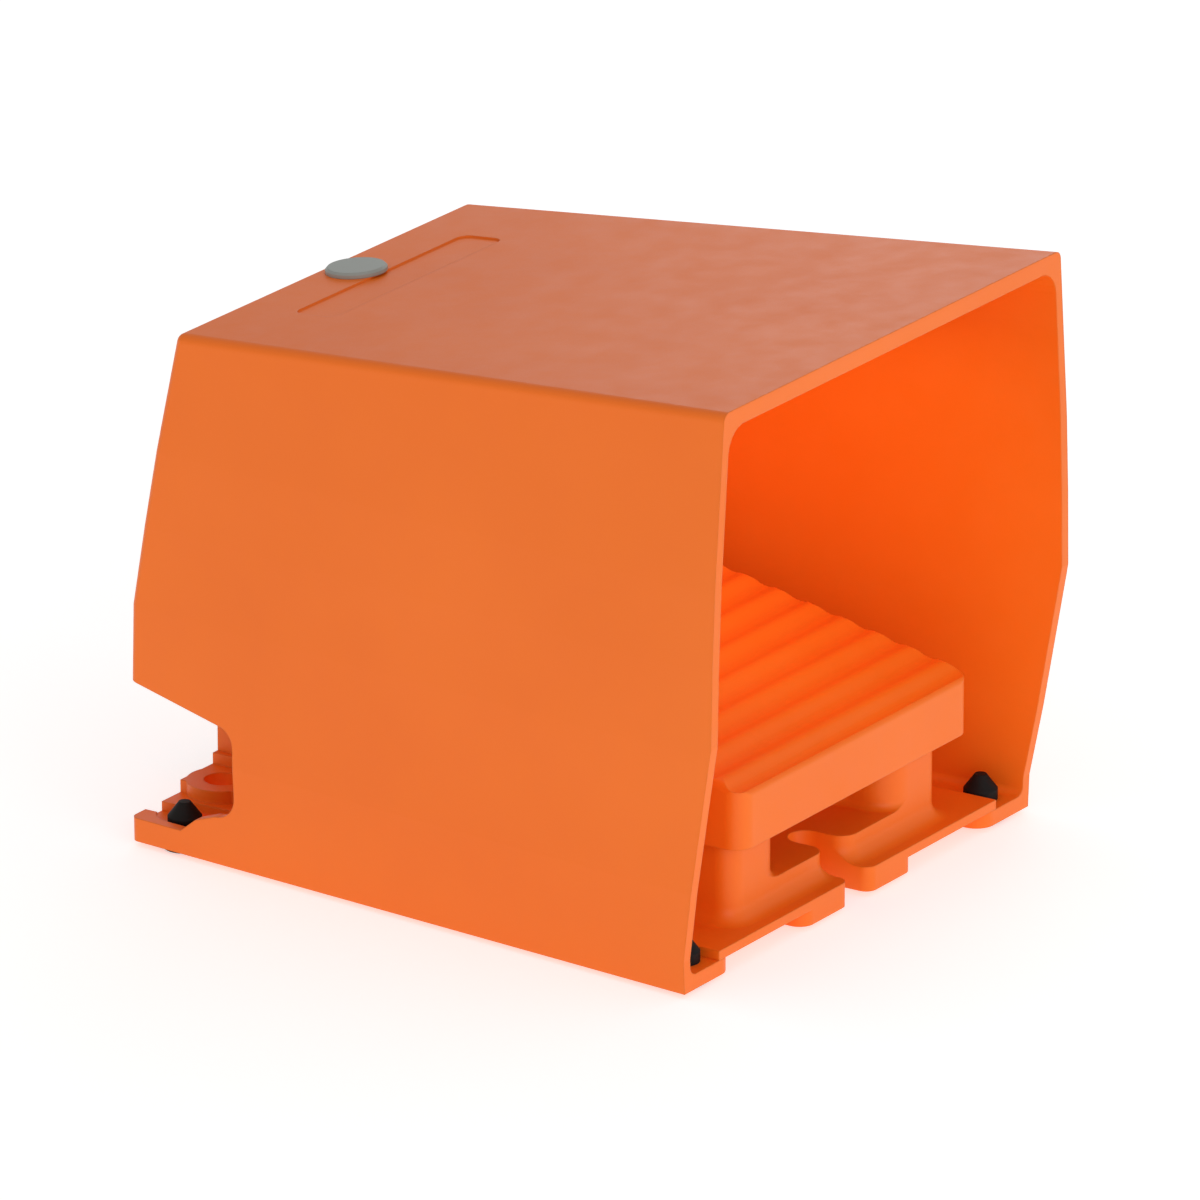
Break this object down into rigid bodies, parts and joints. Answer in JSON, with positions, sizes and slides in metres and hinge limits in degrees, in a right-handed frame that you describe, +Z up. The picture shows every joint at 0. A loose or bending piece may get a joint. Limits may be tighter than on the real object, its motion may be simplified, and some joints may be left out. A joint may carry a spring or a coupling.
{
  "type": "industrial foot switch",
  "caption": "Pedal-operated foot switch: a ribbed hinged pedal under a guard hood open in front, over a base with screw slot, screw holes, rubber feet and a rear cable gland.",
  "frame": {"origin": "bottom centre of the whole switch: middle of its width, middle of its length from the hood's nose to the gland's nut, level with the soles of the feet", "axes": "+X to the right seen from the foot opening, +Y from the foot opening to the cable side, +Z up"},
  "size_m": [0.1652, 0.2026, 0.1518],
  "materials": {
    "orange_plastic": "satin moulded ABS",
    "black_rubber": "matt",
    "grey_plastic": "satin",
    "gland_plastic": "satin black polyamide",
    "zinc_steel": "zinc plated",
    "spring_steel": "drawn wire",
    "white_nylon": "natural polyamide",
    "dark_plastic": "moulded thermoset",
    "brass": "bright"
  },
  "bodies": {
    "base": {"guard_hood": "orange_plastic", "base_tray": "orange_plastic", "rubber_feet": "black_rubber", "top_plug": "grey_plastic", "axle_bushes": "white_nylon", "return_springs": "spring_steel", "stop_buffers": "black_rubber", "block_case": "dark_plastic", "block_cover": "dark_plastic", "block_gasket": "black_rubber", "cover_screws": "zinc_steel", "block_screws": "zinc_steel", "plunger_seal": "black_rubber", "bridge_spring": "spring_steel", "fixed_contacts": "brass", "terminal_screws": "zinc_steel", "guard_screws": "zinc_steel", "gland_body": "gland_plastic", "gland_locknut": "gland_plastic", "gland_seal": "black_rubber", "gland_nut": "gland_plastic"},
    "pedal": {"pedal": "orange_plastic", "pedal_axle": "zinc_steel", "axle_clips": "zinc_steel"},
    "plunger": {"plunger": "white_nylon", "contact_bridge": "brass"}
  },
  "joints": [
    {"name": "pedal_hinge", "type": "hinge", "parent": "base", "child": "pedal", "pos_m": [0, 0.0455, 0.0395], "axis": [1, 0, 0], "range_deg": [0, 6], "stiffness_Nm_per_rad": 10.2, "springref_deg": -6.88, "deforming": ["return_springs"]},
    {"name": "plunger_slide", "type": "slide", "parent": "base", "child": "plunger", "axis": [0, 0, -1], "range_m": [0, 0.0044], "deforming": ["bridge_spring"]}
  ],
  "couplings": [
    {"joint": "plunger_slide", "follows": "pedal_hinge", "m_per_rad": 0.042}
  ]
}
